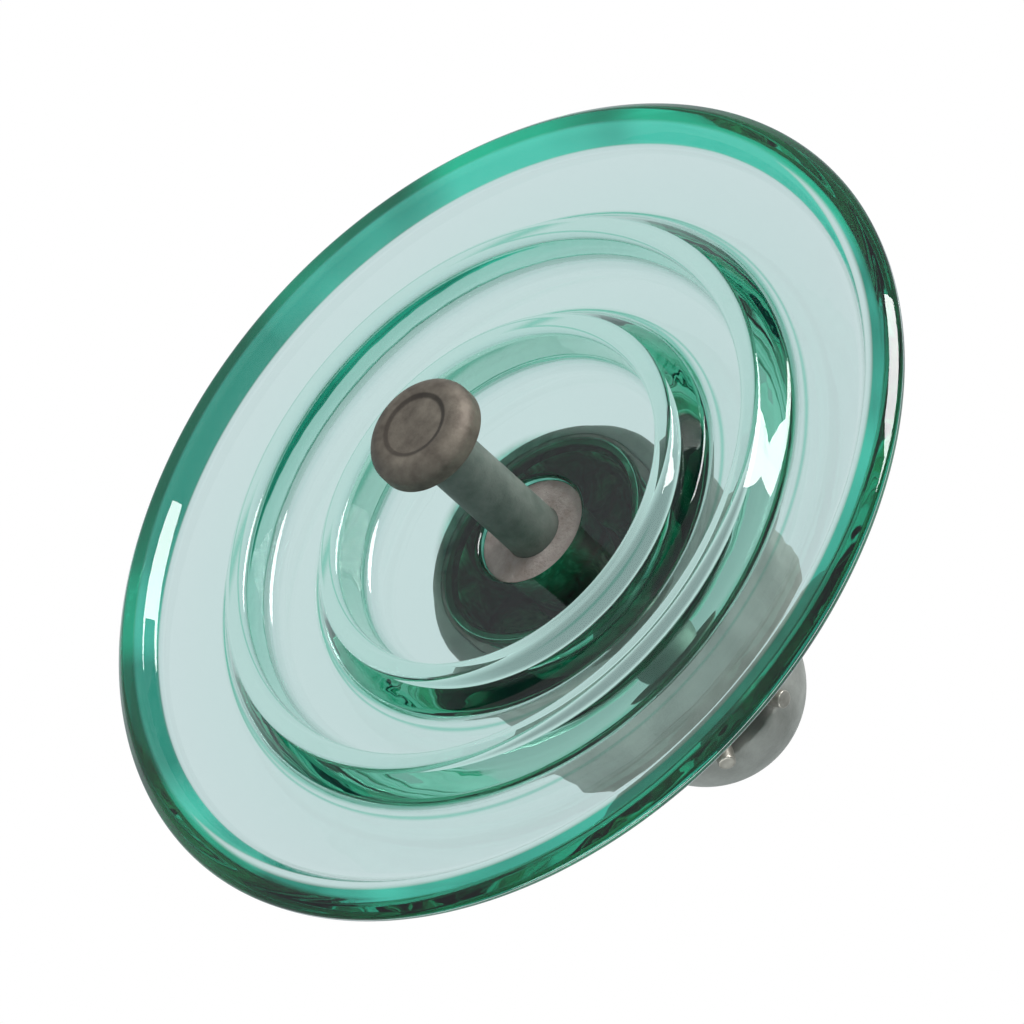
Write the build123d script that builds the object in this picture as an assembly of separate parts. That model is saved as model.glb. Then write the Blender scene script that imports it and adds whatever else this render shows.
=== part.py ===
from build123d import *
import math
import os

# Cap and pin disc insulator of toughened glass, one unit of a suspension string.
# Frame: the unit hangs as in service, cap up and pin down, axis on Z.
# The origin is the coupling point of the socket: the centre of the end face of
# the ball that the unit above puts into this cap. Millimetres throughout.
# The socket mouth faces +Y and the clip window faces -Y.

# ---- unit ----
spacing = 146.0               # one coupling point to the next
disc_diameter = 255.0
rim_level = -103.0            # height of the widest circle of the disc

# ---- ball and socket coupling, 16 mm size ----
ball_diameter = 33.0
ball_height = 13.4            # end face to shank
ball_belt = 4.6               # height at which the ball reaches its full diameter
ball_shoulder_radius = 23.0   # spherical face that carries the pull
dish_radius = 10.0            # struck ring on the ball's end
dish_depth = 0.5
dish_slope = 1.6
dish_rim = 1.0
ball_corner = (0.72, 0.3)     # where the end's corner passes, as shares of its width and height
shank_diameter = 16.2
neck_fillet = 1.6
socket_clearance = 0.7        # round the ball, in the chamber
seat_clearance = 0.3          # between the ball's shoulder and its seat
throat_width = 19.2
ball_lift = 5.6               # the ball drops by this much to leave by the mouth

# ---- locking clip, W shape, lies under the ball ----
clip_wire = 5.2
clip_clearance = 0.3
clip_headroom = 2.4           # window above the wire
clip_leg_spacing = 19.4       # centres of the two outer legs
clip_inner_spacing = 6.2      # centres of the two inner legs
clip_front = 7.0              # how far the front bends reach past the axis
clip_peak = 17.0              # how far back the middle bend is centred
clip_reach = 4.0              # how far the legs stand out of the cap's head
clip_splay_length = 5.4       # the last stretch, which spreads outwards
clip_splay_angle = 24.0
clip_knee_radius = 4.0
window_corner = 2.4

# ---- glass shell; heights count up from the rim level ----
mouth_radius = 16.4
mouth_height = 13.2
mouth_fillet = 2.0
cavity_taper = 1.8            # the cavity narrows by this much to its top
cavity_corner = 6.0
floor_height = 9.8            # inside the inner rib
groove_height = 5.0           # between the ribs
web_height = 1.8              # between the outer rib and the rim
inner_rib_radius = 54.3       # middle of its tip
inner_rib_depth = 4.9         # its tip below the rim level
inner_rib_flare = 9.3         # from the middle of the tip out to the root
outer_rib_radius = 83.4
outer_rib_depth = 7.6
outer_rib_flare = 9.4
rib_tip = 5.8                 # thickness of a rib at its tip
rib_draft = 1.1               # lean of a rib's inner side
rib_fillets = [5.0, 2.6, 2.4, 5.0]
rim_lip_inset = 6.3           # disc edge to the middle of the rim's lower lip
rim_lip_width = 6.4
rim_lip_depth = 3.6
rim_lip_slope = 3.4
rim_edge_low = -0.6
rim_edge_high = 1.6
rim_top_inset = 6.0
rim_top_height = 7.6
rim_fillets = [4.0, 2.4, 3.0, 2.6, 3.4, 7.0]
glass_neck_radius = 30.0
glass_neck_height = 22.8
glass_neck_fillet = 6.0
head_swell = 1.6              # the head is wider at its shoulder than at its neck
crown_rise = 20.0             # shoulder to crown
crown_inset = 10.6
crown_wall = 18.0             # glass above the cavity
head_fillet = 9.0
crown_fillet = 14.0

# ---- cap ----
head_sphere_radius = 28.2     # round head of the cap, about the coupling point
cap_end_cut = 5.2             # flat end, below the top of that sphere
cap_end_fillet = 2.5
cap_wall = 4.0
cap_cement_thickness = 3.0
cap_roof = 7.2                # metal between ball chamber and head cavity
skirt_gap = 8.2               # skirt's edge above the neck of the shell
skirt_lip = 1.3               # the edge closes in by this much
skirt_lip_height = 9.0
bead_swell = 1.2
bead_height = 6.0
bead_slope = 3.0
shoulder_rise = 2.0           # the outside draws in above the shell's shoulder
neck_swell = 0.4
neck_rise = 1.6               # narrowest place, above the head cavity
cap_outside_fillets = [2.0, 1.8, 4.0, 12.0, 22.0]
cap_inside_fillets = [8.0, 14.0, 10.0]

# ---- pin foot, cement and cushions ----
foot_cover = 2.0              # cement between the foot and the cavity's wall
foot_rim = 3.0
foot_bevel = 1.0
foot_cone = 15.0
waist_swell = 0.7
collar_swell = 2.7
collar_cone = 8.0
cement_recess = 2.2           # the pin's cement stands back from the mouth
cement_lip = 0.8              # the cap's cement stands back from the skirt's edge
bitumen_coat = 0.15           # coat on every face that the cement meets
pin_pad_radius = 8.5
pin_pad_thickness = 1.8
pin_pad_cover = 6.2           # cement above the pad
head_pad_radius = 12.0
head_pad_thickness = 1.9

# ---- derived: coupling and clip ----
ball_radius = ball_diameter / 2
shank_radius = shank_diameter / 2
throat_radius = throat_width / 2
ball_end = -spacing
ball_end_radius = dish_radius + dish_rim
shoulder_centre = ball_height - math.sqrt(ball_shoulder_radius**2 - shank_radius**2)
chamber_radius = ball_radius + socket_clearance
seat_radius = ball_shoulder_radius + seat_clearance
clip_level = -clip_headroom - clip_wire / 2
clip_leg_length = head_sphere_radius + clip_reach
chamber_floor = clip_level - clip_wire / 2 - clip_clearance

# ---- derived: cap and shell, stacked down from the ball chamber ----
cap_end_height = head_sphere_radius - cap_end_cut
neck_radius = head_sphere_radius + neck_swell
cavity_ceiling = chamber_floor - cap_roof
neck_level = cavity_ceiling + neck_rise
beyond = 2 * head_sphere_radius   # longer than any cut through the cap's head
crown_height = cavity_ceiling - head_pad_thickness - rim_level
head_height = crown_height - crown_rise
head_radius = glass_neck_radius + head_swell
crown_radius = head_radius - crown_inset
cap_inner_radius = head_radius + cap_cement_thickness
cap_body_radius = cap_inner_radius + cap_wall
bead_radius = cap_body_radius + bead_swell
skirt_level = rim_level + glass_neck_height + skirt_gap
shoulder_level = rim_level + head_height + shoulder_rise

# ---- derived: disc, cavity and pin foot ----
disc_radius = disc_diameter / 2
rim_lip_radius = disc_radius - rim_lip_inset
rim_top_radius = disc_radius - rim_top_inset
cavity_top_radius = mouth_radius - cavity_taper
cavity_top_height = crown_height - crown_wall
foot_height = cavity_top_height - pin_pad_cover - pin_pad_thickness
foot_radius = cavity_top_radius - foot_cover
waist_radius = shank_radius + waist_swell
collar_radius = shank_radius + collar_swell


def level(height):
    """Height above the rim level, as a Z of the frame."""
    return rim_level + height


def line_through(points):
    return Polyline(*[(r, 0, z) for r, z in points]).edges()


def arc_through(first, middle, last):
    return [ThreePointArc(*[(r, 0, z) for r, z in (first, middle, last)])]


def rounded(points, radii):
    """Outline in the XZ plane with one radius for each inner corner."""
    return FilletPolyline(*[(r, 0, z) for r, z in points], radius=radii).edges()


def turned(*edge_lists):
    """Solid turned about Z from the edges of a closed outline."""
    return revolve(make_face([edge for edges in edge_lists for edge in edges]), Axis.Z)


def disc_on(height, radius, thickness):
    """Flat round pad whose lower face is at a height of the frame."""
    return Pos(0, 0, height) * Cylinder(radius, thickness, align=(Align.CENTER, Align.CENTER, Align.MIN))


# ---- glass shell ----
def cavity_outline(inset=0.0):
    """Pin cavity, from the axis at its top down to its mouth."""
    top = level(cavity_top_height) - inset
    return [(0, top), (cavity_top_radius - inset, top), (mouth_radius - inset, level(mouth_height))]


def head_outline(grow=0.0):
    """Head of the shell, from its neck up to the axis."""
    top = level(crown_height) + grow
    return [
        (glass_neck_radius + grow, level(glass_neck_height)),
        (head_radius + grow, level(head_height)),
        (crown_radius + grow, top),
        (0, top),
    ]


def rib_outline(tip_radius, depth, flare, inner_height, outer_height):
    """Upright inner side, round tip and flared outer side of a rib."""
    half = rib_tip / 2
    return [
        (tip_radius - half - rib_draft, level(inner_height)),
        (tip_radius - half, level(-depth)),
        (tip_radius + half, level(-depth)),
        (tip_radius + flare, level(outer_height)),
    ]


def rim_outline():
    half = rim_lip_width / 2
    return [
        (rim_lip_radius - half - rim_lip_slope, level(web_height)),
        (rim_lip_radius - half, level(-rim_lip_depth)),
        (rim_lip_radius + half, level(-rim_lip_depth)),
        (disc_radius, level(rim_edge_low)),
        (disc_radius, level(rim_edge_high)),
        (rim_top_radius, level(rim_top_height)),
    ]


def make_glass_shell():
    inner_rib = rib_outline(inner_rib_radius, inner_rib_depth, inner_rib_flare, floor_height, groove_height)
    outer_rib = rib_outline(outer_rib_radius, outer_rib_depth, outer_rib_flare, groove_height, web_height)
    outline = cavity_outline() + inner_rib + outer_rib + rim_outline() + head_outline()
    head_fillets = [glass_neck_fillet, head_fillet, crown_fillet]
    radii = [cavity_corner, mouth_fillet] + 2 * rib_fillets + rim_fillets + head_fillets
    return turned(rounded(outline, radii), line_through([outline[-1], outline[0]]))


# ---- pin ----
def shoulder_height(r, radius=ball_shoulder_radius):
    """Height of the spherical shoulder at a radius, above the ball's end face."""
    return shoulder_centre + math.sqrt(radius**2 - r**2)


def foot_outline(grow=0.0):
    """Shank and coned foot that the cement holds, from the shank up to the axis."""
    top = level(foot_height)
    waist = top - foot_rim - foot_cone
    return [
        (shank_radius + grow, waist - foot_rim - collar_cone),
        (collar_radius + grow, waist - foot_rim),
        (waist_radius + grow, waist),
        (foot_radius + grow, top - foot_rim),
        (foot_radius + grow, top - foot_bevel),
        (foot_radius - foot_bevel + grow, top),
        (0, top),
    ]


def make_pin():
    neck = ball_end + ball_height
    belt_top = ball_end + shoulder_height(ball_radius)
    halfway = (ball_radius + shank_radius) / 2
    out, up = ball_corner
    corner = (ball_end_radius + out * (ball_radius - ball_end_radius), ball_end + up * ball_belt)
    end_face = line_through([
        (0, ball_end + dish_depth),
        (dish_radius - dish_slope, ball_end + dish_depth),
        (dish_radius, ball_end),
        (ball_end_radius, ball_end),
    ])
    edge = arc_through((ball_end_radius, ball_end), corner, (ball_radius, ball_end + ball_belt))
    belt = line_through([(ball_radius, ball_end + ball_belt), (ball_radius, belt_top)])
    shoulder = arc_through(
        (ball_radius, belt_top), (halfway, ball_end + shoulder_height(halfway)), (shank_radius, neck))
    rest = line_through([(shank_radius, neck)] + foot_outline() + [(0, ball_end + dish_depth)])
    pin = turned(end_face, edge, belt, shoulder, rest)
    neck_edge = pin.edges().filter_by(GeomType.CIRCLE).filter_by(lambda e: abs(e.center().Z - neck) < 0.01)
    return fillet(neck_edge, neck_fillet)


# ---- cap ----
def cap_inside(inset=0.0, bottom=skirt_level):
    """Inner wall of the cap, from the skirt's edge up to the axis."""
    wall = cap_inner_radius - inset
    ceiling = cavity_ceiling - inset
    return [
        (wall - skirt_lip, bottom),
        (wall, skirt_level + skirt_lip_height),
        (wall, level(head_height)),
        (crown_radius + cap_wall - inset, ceiling),
        (0, ceiling),
    ]


def ball_room(drop):
    """Half section of the space for a ball that hangs lower than its seat by drop."""
    middle = (chamber_radius + throat_radius) / 2
    sides = [(r, shoulder_height(r, seat_radius) - drop) for r in (chamber_radius, middle, throat_radius)]
    wall = line_through([(0, chamber_floor), (chamber_radius, chamber_floor), sides[0]])
    throat = line_through([sides[2], (throat_radius, beyond), (0, beyond), (0, chamber_floor)])
    return wall + arc_through(*sides) + throat


def make_socket_hollow():
    """Ball chamber with its spherical seat, the throat, and the mouth towards +Y."""
    chamber = turned(ball_room(0))
    right = extrude(make_face(ball_room(ball_lift)), beyond, dir=(0, 1, 0))
    return chamber + right + mirror(right, Plane.YZ)


def make_clip_window():
    width = clip_leg_spacing + clip_wire + 2 * clip_clearance
    height = clip_wire + clip_clearance + clip_headroom
    opening = RectangleRounded(width, height, window_corner)
    return extrude(Plane.XZ * Pos(0, chamber_floor + height / 2) * opening, beyond)


def make_cap():
    end_radius = math.sqrt(head_sphere_radius**2 - cap_end_height**2)
    half_turn = math.asin(cap_end_height / head_sphere_radius) / 2
    inside = cap_inside()
    bead_top = skirt_level + bead_height
    outside = rounded(
        [inside[0], (bead_radius, skirt_level), (bead_radius, bead_top),
         (cap_body_radius, bead_top + bead_slope), (cap_body_radius, shoulder_level),
         (neck_radius, neck_level), (head_sphere_radius, 0)],
        cap_outside_fillets,
    )
    head = arc_through(
        (head_sphere_radius, 0),
        (head_sphere_radius * math.cos(half_turn), head_sphere_radius * math.sin(half_turn)),
        (end_radius, cap_end_height),
    )
    end = line_through([(end_radius, cap_end_height), (0, cap_end_height), inside[-1]])
    body = turned(outside, head, end, rounded(inside, cap_inside_fillets))
    end_edge = body.edges().filter_by(lambda e: abs(e.center().Z - cap_end_height) < 0.01)
    return fillet(end_edge, cap_end_fillet) - make_socket_hollow() - make_clip_window()


# ---- locking clip ----
def make_locking_clip():
    """One wire bent to a W: two splayed legs, two front bends, one middle bend."""
    outer = clip_leg_spacing / 2
    inner = clip_inner_spacing / 2
    front_radius = (outer - inner) / 2
    front = clip_front - front_radius
    splay = math.radians(clip_splay_angle)
    knee = clip_leg_length - clip_splay_length * math.cos(splay)
    tip = outer + clip_splay_length * math.sin(splay)
    z = clip_level
    half = FilletPolyline((tip, -clip_leg_length, z), (outer, -knee, z), (outer, front, z),
                          radius=clip_knee_radius).edges()
    half.append(ThreePointArc((outer, front, z), (outer - front_radius, clip_front, z), (inner, front, z)))
    half.append(Line((inner, front, z), (inner, -clip_peak, z)))
    peak = ThreePointArc((inner, -clip_peak, z), (0, -clip_peak - inner, z), (-inner, -clip_peak, z))
    path = Wire(half + [peak] + [edge.mirror(Plane.YZ) for edge in half])
    return sweep(Plane(origin=path @ 0, z_dir=path % 0) * Circle(clip_wire / 2), path)


# ---- cement and cushions ----
def make_pin_cement():
    """Cement in the cavity round the pin's foot, ending short of the mouth."""
    cavity = cavity_outline(bitumen_coat)
    surface = level(mouth_height + cement_recess)
    taper = (cavity[1][0] - cavity[2][0]) / (cavity[1][1] - cavity[2][1])
    edge_radius = cavity[2][0] + (surface - cavity[2][1]) * taper
    wall = rounded(cavity[:2] + [(edge_radius, surface)], [cavity_corner - bitumen_coat])
    fill = turned(wall, line_through([(edge_radius, surface), (0, surface), cavity[0]]))
    foot = foot_outline(bitumen_coat)
    below = (foot[0][0], surface - 1)
    core = turned(line_through([(0, below[1]), below] + foot + [(0, below[1])]))
    pad = disc_on(level(foot_height), pin_pad_radius, pin_pad_thickness)
    return fill - core - pad


def make_cap_cement():
    """Cement between the cap's inside and the head of the shell."""
    bottom = skirt_level + cement_lip
    wall = cap_inside(bitumen_coat, bottom)
    fill = turned(rounded(wall, cap_inside_fillets), line_through([wall[-1], (0, bottom), wall[0]]))
    head = head_outline(bitumen_coat)
    top_edges = rounded(head, [head_fillet + bitumen_coat, crown_fillet + bitumen_coat])
    core = turned(top_edges, line_through([head[-1], (0, head[0][1]), head[0]]))
    pad = disc_on(level(crown_height), head_pad_radius, head_pad_thickness)
    return fill - core - pad


if __name__ == "__main__":
    os.makedirs("parts", exist_ok=True)
    nodes = {
        "glass_shell": make_glass_shell(),
        "cap": make_cap(),
        "pin": make_pin(),
        "locking_clip": make_locking_clip(),
        "cap_cement": make_cap_cement(),
        "pin_cement": make_pin_cement(),
        "head_cushion": disc_on(level(crown_height), head_pad_radius, head_pad_thickness),
        "pin_cushion": disc_on(level(foot_height), pin_pad_radius, pin_pad_thickness),
    }
    for name, shape in nodes.items():
        export_step(shape, f"parts/{name}.step")
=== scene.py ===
import math

import bmesh
import bpy
from mathutils import Matrix, Vector


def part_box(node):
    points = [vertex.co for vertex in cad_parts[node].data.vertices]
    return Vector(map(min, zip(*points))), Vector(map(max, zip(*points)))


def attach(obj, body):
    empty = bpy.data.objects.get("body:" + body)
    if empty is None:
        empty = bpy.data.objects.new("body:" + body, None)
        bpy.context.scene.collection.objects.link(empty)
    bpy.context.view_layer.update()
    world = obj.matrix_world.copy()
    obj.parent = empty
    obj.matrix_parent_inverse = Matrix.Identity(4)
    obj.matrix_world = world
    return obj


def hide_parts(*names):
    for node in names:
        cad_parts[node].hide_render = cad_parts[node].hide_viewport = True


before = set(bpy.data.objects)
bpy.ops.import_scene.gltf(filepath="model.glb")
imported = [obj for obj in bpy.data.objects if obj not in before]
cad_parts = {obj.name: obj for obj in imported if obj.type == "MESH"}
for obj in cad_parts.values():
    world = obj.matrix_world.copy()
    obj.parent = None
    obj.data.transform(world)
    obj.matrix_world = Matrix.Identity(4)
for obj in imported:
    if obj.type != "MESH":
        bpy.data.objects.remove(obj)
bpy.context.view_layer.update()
mm = 0.001
print("frame loaded")


class Flow:                                      # one socket, so that sums are written as sums
    def __init__(self, bench, socket):
        self.bench = bench
        self.socket = socket

    def maths(self, operation, *values):
        return self.bench.add("ShaderNodeMath", {"operation": operation}, dict(enumerate(values)))

    def vectors(self, operation, *values):
        return self.bench.add("ShaderNodeVectorMath", {"operation": operation}, dict(enumerate(values)))

    def __add__(self, other):
        return self.maths("ADD", self, other)

    def __radd__(self, other):
        return self.maths("ADD", other, self)

    def __sub__(self, other):
        return self.maths("SUBTRACT", self, other)

    def __rsub__(self, other):
        return self.maths("SUBTRACT", other, self)

    def __mul__(self, other):
        return self.maths("MULTIPLY", self, other)

    def __rmul__(self, other):
        return self.maths("MULTIPLY", other, self)

    def __truediv__(self, other):
        return self.maths("DIVIDE", self, other)

    def __pow__(self, other):
        return self.maths("POWER", self, other)

    def parts(self):                             # x, y and z of a vector
        split = self.bench.add("ShaderNodeSeparateXYZ", {}, {0: self}).socket.node
        return [Flow(self.bench, socket) for socket in split.outputs]


class Bench:                                     # one node tree and the one way to add a node to it
    def __init__(self, tree):
        self.tree = tree

    def join(self, value, socket):
        if isinstance(value, Flow):
            self.tree.links.new(value.socket, socket)
        else:
            socket.default_value = value

    def add(self, kind, settings=None, sockets=None, output=0):
        node = self.tree.nodes.new(kind)
        for name, value in (settings or {}).items():
            if name == "stops":
                self.fillRamp(node.color_ramp, value)
            else:
                setattr(node, name, value)
        for name, value in (sockets or {}).items():
            self.join(value, node.inputs[name])
        return Flow(self, node.outputs[output])

    def fillRamp(self, ramp, stops):
        while len(ramp.elements) < len(stops):
            ramp.elements.new(1.0)
        for element, (place, colour) in zip(ramp.elements, stops):
            element.position = place
            element.color = (*colour, 1.0)


class Finish(Bench):                             # a material and what is often read or mixed in it
    def __init__(self, name, **fixed):
        self.material = bpy.data.materials.new(name)
        self.material.use_nodes = True
        super().__init__(self.material.node_tree)
        self.shader = self.tree.nodes["Principled BSDF"]
        self.sheet = self.tree.nodes["Material Output"]
        for socket, value in fixed.items():
            self.shader.inputs[socket.replace("_", " ")].default_value = value
        self.place = self.add("ShaderNodeTexCoord", output="Object")

    def noise(self, scale, detail=3.0, roughness=0.5, distortion=0.0, place=None):
        sockets = {"Vector": place or self.place, "Scale": scale, "Detail": detail,
                   "Roughness": roughness, "Distortion": distortion}
        return self.add("ShaderNodeTexNoise", {}, sockets)

    def cells(self, scale, feature="F1"):
        return self.add("ShaderNodeTexVoronoi", {"feature": feature}, {"Vector": self.place, "Scale": scale})

    def stretched(self, x, y, z):                # object coordinates scaled unevenly, for runs and scratches
        return self.add("ShaderNodeMapping", {}, {"Vector": self.place, "Scale": (x, y, z)})

    def step(self, value, low, high, lowest=0.0, highest=1.0):
        sockets = {"Value": value, "From Min": low, "From Max": high, "To Min": lowest, "To Max": highest}
        return self.add("ShaderNodeMapRange", {"interpolation_type": "SMOOTHSTEP"}, sockets)

    def ramp(self, value, *stops):
        return self.add("ShaderNodeValToRGB", {"stops": stops}, {0: value})

    def mix(self, share, first, second, blend="MIX"):
        sockets = {0: share, 6: first, 7: second}
        return self.add("ShaderNodeMix", {"data_type": "RGBA", "blend_type": blend}, sockets, output=2)

    def relief(self, height, distance, strength=1.0):
        sockets = {"Height": height, "Distance": distance, "Strength": strength}
        self.feed("Normal", self.add("ShaderNodeBump", {}, sockets))

    def feed(self, socket, value):
        self.join(value, self.shader.inputs[socket])

    def size(self, value):                       # the value without its sign
        return value.maths("ABSOLUTE", value)

    def radius(self):                            # distance from the unit's axis, in metres
        x, y, z = self.place.parts()
        return (x * x + y * y) ** 0.5


def shade(*parts):
    return (*parts, 1.0)


# what the frame says about places, in millimetres
def nodeBox(node):
    low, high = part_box(node)
    return [[value / mm for value in corner] for corner in (low, high)]


shellLow, shellHigh = nodeBox("glass_shell")
pinLow, pinHigh = nodeBox("pin")
pinCementLow = nodeBox("pin_cement")[0]
capCementLow = nodeBox("cap_cement")[0]
discRadius = shellHigh[0]

shell = {                                        # heights count up from the rim level
    "mouth": (16.4, 13.2, 2.0),                  # radius, height, rounding
    "cavityTaper": 1.8, "cavityCorner": 6.0, "crownWall": 18.0,
    "floor": 9.8, "groove": 5.0, "web": 1.8,
    "innerRib": (54.3, 4.9, 9.3),                # middle of the tip, depth, flare to the root
    "outerRib": (83.4, 7.6, 9.4),
    "ribTip": 5.8, "ribDraft": 1.1, "ribRounding": (5.0, 2.6, 2.4, 5.0),
    "lipInset": 6.3, "lipWidth": 6.4, "lipDepth": 3.6, "lipSlope": 3.4,
    "edge": (-0.6, 1.6), "rimTop": (6.0, 7.6), "rimRounding": (4.0, 2.4, 3.0, 2.6, 3.4, 7.0),
    "neck": (30.0, 22.8, 6.0), "headSwell": 1.6, "headRounding": 9.0,
    "crownInset": 10.6, "crownRise": 20.0, "crownRounding": 14.0,
    "around": 320, "arcSteps": 8, "longestStep": 7.0,
    "waveHeight": 0.10, "waveScale": 34.0, "seed": 4,
}
rimLevel = shellLow[2] + shell["outerRib"][1]
crownHeight = shellHigh[2] - rimLevel
headHeight = crownHeight - shell["crownRise"]
cavityTop = crownHeight - shell["crownWall"]
headRadius = shell["neck"][0] + shell["headSwell"]


def turnedTree():
    # an outline in the XZ plane, rounded at its corners and turned about Z
    tree = bpy.data.node_groups.new("turnedOutline", "GeometryNodeTree")
    sizes = [("Outline", "NodeSocketObject"), ("Around", "NodeSocketInt"), ("Arc Steps", "NodeSocketInt"),
             ("Longest Step", "NodeSocketFloat"), ("Wave Height", "NodeSocketFloat"),
             ("Wave Scale", "NodeSocketFloat"), ("Seed", "NodeSocketInt"), ("Finish", "NodeSocketMaterial")]
    for name, kind in sizes:
        tree.interface.new_socket(name, in_out="INPUT", socket_type=kind)
    tree.interface.new_socket("Geometry", in_out="OUTPUT", socket_type="NodeSocketGeometry")
    bench = Bench(tree)
    entry = tree.nodes.new("NodeGroupInput")
    given = {name: Flow(bench, entry.outputs[name]) for name, kind in sizes}

    outline = bench.add("GeometryNodeObjectInfo", {}, {"Object": given["Outline"]}, output="Geometry")
    line = bench.add("GeometryNodeMeshToCurve", {}, {"Mesh": outline})
    rounding = bench.add("GeometryNodeInputNamedAttribute", {"data_type": "FLOAT"}, {"Name": "rounding"})
    line = bench.add("GeometryNodeFilletCurve", {"mode": "POLY"},
                     {"Curve": line, "Count": given["Arc Steps"], "Radius": rounding})
    here = bench.add("GeometryNodeInputPosition")
    order = bench.add("GeometryNodeInputIndex")
    following = bench.add("GeometryNodeOffsetPointInCurve", {}, {"Point Index": order, "Offset": 1},
                          output="Point Index")
    there = bench.add("GeometryNodeFieldAtIndex", {"data_type": "FLOAT_VECTOR"},
                      {"Value": here, "Index": following})
    gap = bench.add("ShaderNodeVectorMath", {"operation": "DISTANCE"}, {0: here, 1: there}, output="Value")
    cuts = (gap / given["Longest Step"]).maths("FLOOR", gap / given["Longest Step"])
    line = bench.add("GeometryNodeSubdivideCurve", {}, {"Curve": line, "Cuts": cuts})

    count = bench.add("GeometryNodeAttributeDomainSize", {"component": "CURVE"}, {0: line},
                      output="Point Count")
    net = bench.add("GeometryNodeMeshGrid", {}, {"Size X": 1.0, "Size Y": 1.0, "Vertices X": count,
                                                 "Vertices Y": given["Around"] + 1})
    across, along, flat = here.parts()
    row = (across + 0.5) * (count - 1)
    turn = (along + 0.5) * math.tau
    onLine = bench.add("GeometryNodeSampleIndex", {"data_type": "FLOAT_VECTOR", "domain": "POINT"},
                       {"Geometry": line, "Value": here, "Index": row.maths("ROUND", row)})
    radius, aside, height = onLine.parts()
    sockets = {0: radius * turn.maths("COSINE", turn), 1: radius * turn.maths("SINE", turn), 2: height}
    spun = bench.add("ShaderNodeCombineXYZ", {}, sockets)
    net = bench.add("GeometryNodeSetPosition", {}, {"Geometry": net, "Position": spun})
    wave = bench.add("ShaderNodeTexNoise", {"noise_dimensions": "4D"},
                     {"Vector": here, "W": given["Seed"], "Scale": given["Wave Scale"], "Detail": 1.0},
                     output="Color")
    shift = wave.vectors("SUBTRACT", wave, (0.5, 0.5, 0.5))
    shift = bench.add("ShaderNodeVectorMath", {"operation": "SCALE"},
                      {0: shift, "Scale": given["Wave Height"]})
    net = bench.add("GeometryNodeSetPosition", {}, {"Geometry": net, "Offset": shift})
    net = bench.add("GeometryNodeMergeByDistance", {}, {"Geometry": net, "Distance": 0.01 * mm})
    net = bench.add("GeometryNodeFlipFaces", {}, {"Mesh": net})
    net = bench.add("GeometryNodeSetShadeSmooth", {}, {"Geometry": net})
    net = bench.add("GeometryNodeRealizeInstances", {}, {"Geometry": net})
    net = bench.add("GeometryNodeSetMaterial", {}, {"Geometry": net, "Material": given["Finish"]})
    leave = tree.nodes.new("NodeGroupOutput")
    bench.join(net, leave.inputs["Geometry"])
    return tree


def newObject(name, mesh):
    piece = bpy.data.objects.new(name, mesh)
    bpy.context.scene.collection.objects.link(piece)
    return piece


def runTree(name, tree, values, start=None):
    # puts the tree on a mesh, keeps the result as a plain mesh and drops the modifier
    carrier = newObject(name + "Carrier", start or bpy.data.meshes.new(name))
    modifier = carrier.modifiers.new("nodes", "NODES")
    modifier.node_group = tree
    for item in tree.interface.items_tree:
        if item.in_out == "INPUT" and item.name in values:
            modifier[item.identifier] = values[item.name]
    seen = carrier.evaluated_get(bpy.context.evaluated_depsgraph_get())
    mesh = bpy.data.meshes.new_from_object(seen)
    bpy.data.objects.remove(carrier)
    return newObject(name, mesh)


def outlineObject(name, corners):
    # corners are (radius, height above the frame's zero, rounding), in millimetres
    mesh = bpy.data.meshes.new(name)
    spots = [(radius * mm, 0, height * mm) for radius, height, rounding in corners]
    mesh.from_pydata(spots, [(i, i + 1) for i in range(len(spots) - 1)], [])
    attribute = mesh.attributes.new("rounding", "FLOAT", "POINT")
    attribute.data.foreach_set("value", [rounding * mm for radius, height, rounding in corners])
    return newObject(name, mesh)


turned = turnedTree()


def turn(name, corners, finish, around=160, arcSteps=8, longestStep=4.0,
         waveHeight=0.0, waveScale=60.0, seed=1):
    outline = outlineObject(name + "Outline", corners)
    values = {"Outline": outline, "Around": around, "Arc Steps": arcSteps, "Longest Step": longestStep * mm,
              "Wave Height": waveHeight * mm, "Wave Scale": waveScale, "Seed": seed,
              "Finish": finish.material}
    piece = runTree(name, turned, values)
    bpy.data.objects.remove(outline)
    return piece


def settle(piece, body="insulator", stands=()):
    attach(piece, body)
    if stands:
        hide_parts(*stands)
    return piece


# glass
glassColours = {
    "density": 14.0,                             # light lost per metre
    "tint": (0.0, 0.75, 0.536),                  # share of each colour that is kept
    "ior": 1.52, "roughness": 0.008,
    "clear": (0.97, 1.0, 0.985),
    # the rim band is painted shade and painted glow, standing in for the green of light's long path through
    # the rim
    "rimPaintedShade": (0.001, 0.135, 0.072), "rimPaintedGlow": (0.012, 0.62, 0.36),
    "rimFrom": 119.2, "rimFull": 120.6,          # millimetres from the axis
    # the rib roots get a painted green shade line, standing in for light's long path through the glass there
    "root": (0.22, 0.66, 0.50), "rootWidth": 1.3,
    # the hub colours are painted: the dark one is painted shade and a painted reflection of the cap, the
    # pale one painted glow of the thick glass
    "hubPaintedShade": (0.004, 0.10, 0.058), "hubPaintedGlow": (0.16, 0.72, 0.50), "hubFrom": 31.0, "hubFull": 27.0,
}


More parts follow.
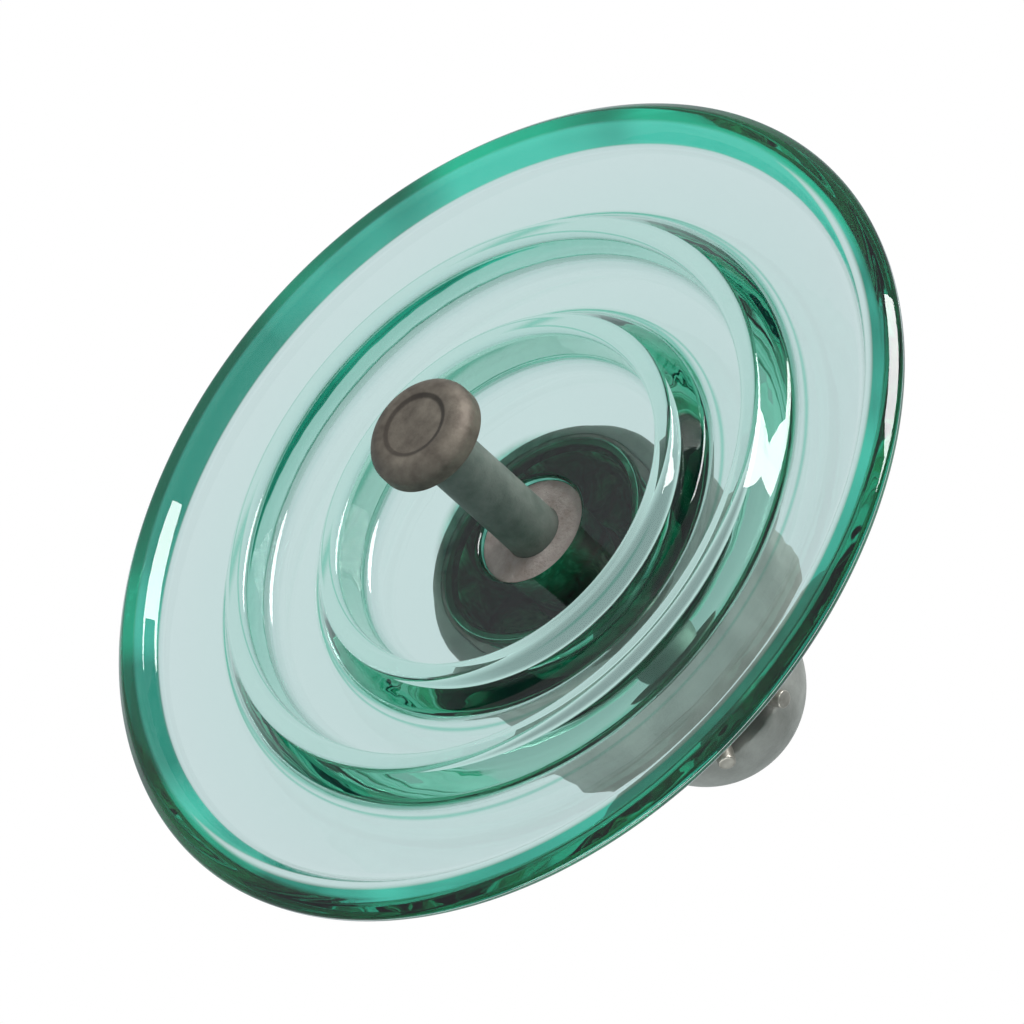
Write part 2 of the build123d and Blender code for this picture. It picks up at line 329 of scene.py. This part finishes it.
def makeGlassFinish():
    finish = Finish("toughenedGlass", Transmission_Weight=1.0, IOR=glassColours["ior"],
                    Roughness=glassColours["roughness"])
    away = finish.radius()
    clear, root = shade(*glassColours["clear"]), shade(*glassColours["root"])
    # painted shade and painted glow: a green band at the rim edge in place of the colour the thick glass
    # gives there
    rimPaintedBand = finish.ramp(finish.noise(16.0, 2.0, 0.5), (0.40, glassColours["rimPaintedShade"]),
                       (0.60, glassColours["rimPaintedGlow"]))
    colour = clear
    # painted shade: a green line laid along each rib's root
    for radius, depth, flare in (shell["innerRib"], shell["outerRib"]):
        gap = finish.size(away - (radius + flare) * mm)
        colour = finish.mix(finish.step(gap, 0.0, glassColours["rootWidth"] * mm, 1.0, 0.0), colour, root)
    # painted shade, painted reflection and painted glow: streaks laid over the glass near the neck
    hubPaintedStreaks = finish.ramp(finish.noise(42.0, 3.0, 0.55, 1.5), (0.42, glassColours["hubPaintedShade"]),
                          (0.66, glassColours["hubPaintedGlow"]))
    hub = finish.step(away, glassColours["hubFrom"] * mm, glassColours["hubFull"] * mm)
    colour = finish.mix(hub, colour, hubPaintedStreaks)
    # where the painted rim band takes over from the glass's own colour
    rim = finish.step(away, glassColours["rimFrom"] * mm, glassColours["rimFull"] * mm)
    finish.feed("Base Color", finish.mix(rim, colour, rimPaintedBand))
    finish.relief(finish.noise(55.0, 2.0), 0.12 * mm)
    depth = finish.add("ShaderNodeVolumeAbsorption", {},
                       {"Color": shade(*glassColours["tint"]), "Density": glassColours["density"]})
    finish.join(depth, finish.sheet.inputs["Volume"])
    return finish


def ribCorners(rib, innerHeight, outerHeight):
    tip, depth, flare = rib
    half = shell["ribTip"] / 2
    spots = [(tip - half - shell["ribDraft"], innerHeight), (tip - half, -depth), (tip + half, -depth),
             (tip + flare, outerHeight)]
    return [(r, h, rounding) for (r, h), rounding in zip(spots, shell["ribRounding"])]


def rimCorners():
    lip = discRadius - shell["lipInset"]
    half = shell["lipWidth"] / 2
    low, high = shell["edge"]
    inset, top = shell["rimTop"]
    spots = [(lip - half - shell["lipSlope"], shell["web"]), (lip - half, -shell["lipDepth"]),
             (lip + half, -shell["lipDepth"]), (discRadius, low), (discRadius, high),
             (discRadius - inset, top)]
    return [(r, h, rounding) for (r, h), rounding in zip(spots, shell["rimRounding"])]


def cavityCorners(grow=0.0):
    radius, height, rounding = shell["mouth"]
    return [(0, cavityTop + grow, 0),
            (radius - shell["cavityTaper"] + grow, cavityTop + grow, shell["cavityCorner"] + grow),
            (radius + grow, height, rounding)]


def headCorners(grow=0.0):
    radius, height, rounding = shell["neck"]
    return [(radius + grow, height, rounding),
            (headRadius + grow, headHeight, shell["headRounding"] + grow),
            (headRadius - shell["crownInset"] + grow, crownHeight + grow, shell["crownRounding"] + grow),
            (0, crownHeight + grow, 0)]


def lifted(corners):                             # from heights above the rim level to the frame's heights
    return [(r, rimLevel + h, rounding) for r, h, rounding in corners]


def makeGlassShell(finish):
    corners = cavityCorners() + ribCorners(shell["innerRib"], shell["floor"], shell["groove"])
    corners += ribCorners(shell["outerRib"], shell["groove"], shell["web"]) + rimCorners() + headCorners()
    piece = turn("glassShell", lifted(corners), finish, shell["around"], shell["arcSteps"],
                 shell["longestStep"], shell["waveHeight"], shell["waveScale"], shell["seed"])
    return settle(piece, stands=["glass_shell"])


glassFinish = makeGlassFinish()
glassShell = makeGlassShell(glassFinish)
print("glass shell:", len(glassShell.data.polygons), "faces")


# steel pin with its ball
pin = {
    "dishDepth": 0.5, "dishRadius": 10.0, "dishSlope": 1.6,
    "cornerStart": 13.7, "cornerTop": 3.4, "cornerRounding": (5.0, 4.0),
    "shoulderRadius": 23.0, "ballHeight": 13.4, "shankRadius": 8.1,
    "foot": ((10.8, -11.0), (8.8, -18.0), (12.6, -3.0), (12.6, -1.0), (11.6, 0.0)),
    "footHeight": 60.0, "shoulderSteps": 12,
    "dishWallRing": 9.3, "ringWidth": (0.3, 1.1), "ringShare": 0.75,
    "endFace": (3.0, 1.5), "wornFrom": (15.0, 11.0),
}


def makeSteelFinish():
    finish = Finish("forgedGalvanisedSteel", Metallic=0.45)
    above = finish.place.parts()[2] - pinLow[2] * mm     # height above the end of the ball
    patches = finish.noise(140.0, 5.0, 0.6)
    grain = finish.noise(1400.0, 4.0, 0.6)
    zinc = finish.ramp(patches, (0.3, (0.13, 0.155, 0.135)), (0.7, (0.235, 0.26, 0.23)))
    worn = finish.ramp(patches, (0.3, (0.085, 0.066, 0.052)), (0.72, (0.23, 0.195, 0.155)))
    zincEnds, wornStarts = pin["wornFrom"]
    ball = finish.step(above, zincEnds * mm, wornStarts * mm)
    # a darker ring laid over the sloping wall of the dish in the ball's end
    fromDishWallRing = finish.size(finish.radius() - pin["dishWallRing"] * mm)
    sideEnds, faceStarts = pin["endFace"]
    face = finish.step(above, sideEnds * mm, faceStarts * mm)
    inner, outer = pin["ringWidth"]
    ring = finish.step(fromDishWallRing, inner * mm, outer * mm, pin["ringShare"], 0.0) * face
    worn = finish.mix(ring, worn, shade(0.035, 0.026, 0.020))
    finish.feed("Base Color", finish.mix(ball, zinc, worn))
    finish.feed("Roughness", 0.48 + 0.2 * patches)
    finish.relief(patches * 0.8 + grain * 0.25, 0.35 * mm)
    return finish


def makePin(finish):
    end = pinLow[2]
    dish = pin["dishRadius"]
    rounding = pin["cornerRounding"]
    corners = [(0, pin["dishDepth"], 0), (dish - pin["dishSlope"], pin["dishDepth"], 0.6), (dish, 0, 0.5),
               (pin["cornerStart"], 0, rounding[0]), (pinHigh[0], pin["cornerTop"], rounding[1])]
    centre = pin["ballHeight"] - math.sqrt(pin["shoulderRadius"] ** 2 - pin["shankRadius"] ** 2)
    steps = pin["shoulderSteps"]
    for i in range(steps + 1):
        r = pinHigh[0] + (pin["shankRadius"] - pinHigh[0]) * i / steps
        height = centre + math.sqrt(pin["shoulderRadius"] ** 2 - r * r)
        corners.append((r, height, 0.0 if 0 < i < steps else 0.5))
    corners = [(r, end + h, rounding) for r, h, rounding in corners]
    footTop = rimLevel + pin["footHeight"]
    corners.append((pin["shankRadius"], footTop - 29.0, 0))
    corners += [(r, footTop + h, 0.4) for r, h in pin["foot"]] + [(0, footTop, 0)]
    piece = turn("pinForging", corners, finish, around=128, arcSteps=6, longestStep=3.0, waveHeight=0.12,
                 waveScale=130.0, seed=7)
    return settle(piece, stands=["pin"])


steelFinish = makeSteelFinish()
pinForging = makePin(steelFinish)
print("pin:", len(pinForging.data.polygons), "faces")


# pieces that keep the form of their solid
def mergedCopy(name, node, finish, angle=30.0):
    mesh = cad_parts[node].data.copy()
    mesh.name = name
    work = bmesh.new()
    work.from_mesh(mesh)
    bmesh.ops.remove_doubles(work, verts=work.verts, dist=0.005 * mm)
    work.to_mesh(mesh)
    work.free()
    mesh.shade_smooth()
    mesh.set_sharp_from_angle(angle=math.radians(angle))
    mesh.materials.clear()
    mesh.materials.append(finish.material)
    return newObject(name, mesh)


def softenedCopy(name, node, finish, grain, rounds):
    # the solid's form on an even net of that grain, with its edges rubbed round
    piece = mergedCopy(name, node, finish)
    remesh = piece.modifiers.new("net", "REMESH")
    remesh.mode = "VOXEL"
    remesh.voxel_size = grain * mm
    rub = piece.modifiers.new("rub", "SMOOTH")
    rub.iterations = rounds
    seen = piece.evaluated_get(bpy.context.evaluated_depsgraph_get())
    mesh = bpy.data.meshes.new_from_object(seen)
    bpy.data.objects.remove(piece)
    mesh.shade_smooth()
    mesh.materials.clear()
    mesh.materials.append(finish.material)
    return newObject(name, mesh)


casting = {"grain": 0.8, "rounds": 3}


def makeCapFinish():
    finish = Finish("galvanisedCastIron", Metallic=0.25)
    patches = finish.noise(70.0, 6.0, 0.62)
    pits = finish.noise(1100.0, 3.0, 0.7)
    runs = finish.noise(60.0, 3.0, 0.5, place=finish.stretched(1.0, 1.0, 0.15))
    colour = finish.ramp(patches, (0.28, (0.19, 0.195, 0.175)), (0.72, (0.37, 0.375, 0.345)))
    streaked = finish.step(runs, 0.55, 0.75, 0.0, 0.4)
    finish.feed("Base Color", finish.mix(streaked, colour, shade(0.47, 0.475, 0.445)))
    finish.feed("Roughness", 0.55 + 0.2 * patches)
    finish.relief(patches * 0.7 + pits * 0.3, 0.5 * mm)
    return finish


capFinish = makeCapFinish()
capCasting = settle(softenedCopy("capCasting", "cap", capFinish, casting["grain"], casting["rounds"]),
                    stands=["cap"])
print("cap:", len(capCasting.data.polygons), "faces")


clip = {"grain": 0.35, "rounds": 2}


def makeClipFinish():
    finish = Finish("springWire", Metallic=0.8)
    draw = finish.noise(400.0, 3.0, 0.5, place=finish.stretched(1.0, 0.06, 1.0))
    finish.feed("Base Color", finish.ramp(draw, (0.3, (0.30, 0.28, 0.24)), (0.7, (0.48, 0.45, 0.40))))
    finish.feed("Roughness", 0.30 + 0.2 * draw)
    finish.relief(draw, 0.08 * mm)
    return finish


clipWire = settle(softenedCopy("clipWire", "locking_clip", makeClipFinish(), clip["grain"], clip["rounds"]),
                  body="clip", stands=["locking_clip"])
print("clip:", len(clipWire.data.polygons), "faces")


def makeCementFinish():
    finish = Finish("cement")
    sand = finish.noise(900.0, 4.0, 0.7)
    patches = finish.noise(120.0, 4.0, 0.6)
    colour = finish.ramp(patches, (0.3, (0.24, 0.19, 0.165)), (0.7, (0.42, 0.36, 0.33)))
    specks = finish.step(sand, 0.6, 0.72, 0.0, 0.5)
    finish.feed("Base Color", finish.mix(specks, colour, shade(0.55, 0.5, 0.46)))
    finish.feed("Roughness", 0.8 + 0.1 * sand)
    finish.relief(sand + 0.8 * patches, 0.6 * mm)
    return finish


cementFinish = makeCementFinish()
for name, node in (("pinCement", "pin_cement"), ("capCement", "cap_cement")):
    settle(mergedCopy(name, node, cementFinish), stands=[node])


# bitumen coat between glass and cement; it wets the glass, so it reaches a hair into it
coat = {"bite": 0.1, "thickness": 0.15}


def makeCoatGlowFinish():
    finish = Finish("bitumenCoatPaintedGlow", Roughness=0.6, Specular_IOR_Level=0.1)
    patches = finish.noise(70.0, 4.0, 0.6, 1.2, finish.stretched(1.0, 1.0, 0.45))
    # painted glow: the pale green streaks stand in for light held in the thick glass around the coat; the
    # dark patches are the coat's own dark
    colour = finish.ramp(patches, (0.34, (0.002, 0.045, 0.026)), (0.52, (0.015, 0.30, 0.18)),
                         (0.68, (0.35, 0.88, 0.66)))
    finish.feed("Base Color", colour)
    return finish


def makeCavityCoat(finish):
    top, wall, mouth = cavityCorners(coat["bite"])
    inner = cavityCorners(-coat["thickness"])
    low = pinCementLow[2] - rimLevel
    edge = (mouth[0] - 0.05, low, 0)
    innerEdge = (mouth[0] - coat["bite"] - coat["thickness"], low, 0)
    corners = [top, wall, edge, innerEdge, inner[1], inner[0]]
    return settle(turn("cavityCoat", lifted(corners[::-1]), finish, around=128))


def makeHeadCoat(finish):
    outer = headCorners(coat["thickness"])
    inner = headCorners(-coat["bite"])
    low = capCementLow[2] - rimLevel
    share = (low - shell["neck"][1]) / (headHeight - shell["neck"][1])
    swell = shell["neck"][0] + shell["headSwell"] * share
    corners = [(swell - coat["bite"], low, 0), (swell + coat["thickness"], low, 0)] + outer[1:]
    corners += inner[:0:-1] + [(swell - coat["bite"], low, 0)]
    return settle(turn("headCoat", lifted(corners), finish, around=128))


coatGlowFinish = makeCoatGlowFinish()
makeCavityCoat(coatGlowFinish)
makeHeadCoat(coatGlowFinish)


def makeCushionFinish():
    finish = Finish("cork")
    grain = finish.cells(500.0)
    finish.feed("Base Color", finish.ramp(grain, (0.1, (0.18, 0.11, 0.06)), (0.8, (0.34, 0.23, 0.13))))
    finish.feed("Roughness", 0.85 + 0.1 * grain)
    finish.relief(grain, 0.3 * mm)
    return finish


cushionFinish = makeCushionFinish()
for name, node in (("headCushion", "head_cushion"), ("pinCushion", "pin_cushion")):
    settle(mergedCopy(name, node, cushionFinish), stands=[node])
print("cement, coats and cushions done")


# stage, light and camera
stage = {"floorLevel": -1.9, "floorSize": 60.0, "white": 1.0, "sky": (0.60, 0.69, 0.73),
         "bright": (0.0, 0.736, 0.677), "dimFrom": 0.0, "fullFrom": 0.85, "dim": 0.45, "full": 0.93,
         "bounces": 24, "mirrorBounces": 8}
view = {
    "tilt": 47.75, "roll": 41.888, "distance": 2.5,         # degrees and metres
    "aside": (2.682, 2.251),                                 # millimetres to the right and down
    "lens": 323.4, "film": 36.0,
}
softboxes = {                                    # direction, distance, size, power, colour, mirrored
    "key": ((-0.90, -0.16, -0.39), 1.5, (1.2, 0.5), 24.0, (1.0, 1.0, 1.0), True),
    "fill": ((0.55, -0.70, 0.35), 1.8, (1.5, 0.5), 11.0, (0.95, 1.0, 1.0), True),
    "top": ((-0.2, 0.35, 0.9), 1.9, (0.9, 0.9), 14.0, (1.0, 1.0, 1.0), False),
}
middle = Vector((0, 0, rimLevel * mm))


def makeFloor():
    half = stage["floorSize"] / 2
    mesh = bpy.data.meshes.new("floor")
    level = stage["floorLevel"]
    spots = [(-half, -half, level), (half, -half, level), (half, half, level), (-half, half, level)]
    mesh.from_pydata(spots, [], [(0, 1, 2, 3)])
    finish = Finish("paleFloor", Roughness=0.9, Base_Color=shade(0.82, 0.83, 0.83))
    mesh.materials.append(finish.material)
    floor = newObject("floor", mesh)


def makeWorld():
    world = bpy.data.worlds.new("studio")
    bpy.context.scene.world = world
    world.use_nodes = True
    bench = Bench(world.node_tree)
    world.node_tree.nodes.clear()
    seen = bench.add("ShaderNodeLightPath", output="Is Camera Ray")
    place = bench.add("ShaderNodeTexCoord", output="Generated")
    height = place.parts()[2]
    toward = bench.add("ShaderNodeVectorMath", {"operation": "DOT_PRODUCT"},
                       {0: place, 1: stage["bright"]}, output=1)
    glow = bench.add("ShaderNodeMapRange", {"interpolation_type": "SMOOTHSTEP"},
                     {"Value": toward, "From Min": stage["dimFrom"], "From Max": stage["fullFrom"],
                      "To Min": stage["dim"], "To Max": stage["full"]})
    colour = bench.add("ShaderNodeValToRGB", {"stops": [(0.0, (0.42, 0.50, 0.52)), (0.5, stage["sky"]),
                                                        (1.0, (0.78, 0.85, 0.88))]}, {0: height * 0.5 + 0.5})
    room = bench.add("ShaderNodeBackground", {}, {"Color": colour, "Strength": glow})
    white = bench.add("ShaderNodeBackground", {}, {"Color": shade(1, 1, 1), "Strength": stage["white"]})
    both = bench.add("ShaderNodeMixShader", {}, {0: seen, 1: room, 2: white})
    sheet = world.node_tree.nodes.new("ShaderNodeOutputWorld")
    bench.join(both, sheet.inputs["Surface"])


def makeSoftbox(name, direction, distance, size, power, colour, mirrored):
    lamp = bpy.data.lights.new(name, "AREA")
    lamp.shape = "ELLIPSE"
    lamp.size, lamp.size_y = size
    lamp.energy = power
    lamp.color = colour
    box = bpy.data.objects.new(name, lamp)
    bpy.context.scene.collection.objects.link(box)
    away = Vector(direction).normalized()
    box.location = middle + away * distance
    box.rotation_euler = away.to_track_quat("Z", "Y").to_euler()
    box.visible_camera = False
    box.visible_transmission = False
    box.visible_glossy = mirrored


def makeCamera():
    tilt = math.radians(view["tilt"])
    roll = math.radians(view["roll"])
    back = Vector((0, -math.sin(tilt), -math.cos(tilt)))
    flat = Vector((-1, 0, 0))
    steep = Vector((0, -math.cos(tilt), math.sin(tilt)))
    right = math.sin(roll) * flat + math.cos(roll) * steep
    down = -math.cos(roll) * flat + math.sin(roll) * steep
    lens = bpy.data.cameras.new("camera")
    lens.lens = view["lens"]
    lens.sensor_width = view["film"]
    camera = bpy.data.objects.new("camera", lens)
    bpy.context.scene.collection.objects.link(camera)
    toRight, toBottom = view["aside"]
    place = middle + right * toRight * mm + down * toBottom * mm + back * view["distance"]
    camera.matrix_world = Matrix.Translation(place) @ Matrix((right, -down, back)).transposed().to_4x4()
    bpy.context.scene.camera = camera


makeFloor()
makeWorld()
for name, facts in softboxes.items():
    makeSoftbox(name, *facts)
makeCamera()
scene = bpy.context.scene
scene.view_settings.view_transform = "Standard"
scene.cycles.max_bounces = stage["bounces"]
scene.cycles.transmission_bounces = stage["bounces"]
scene.cycles.glossy_bounces = stage["mirrorBounces"]
print("stage, light and camera done")
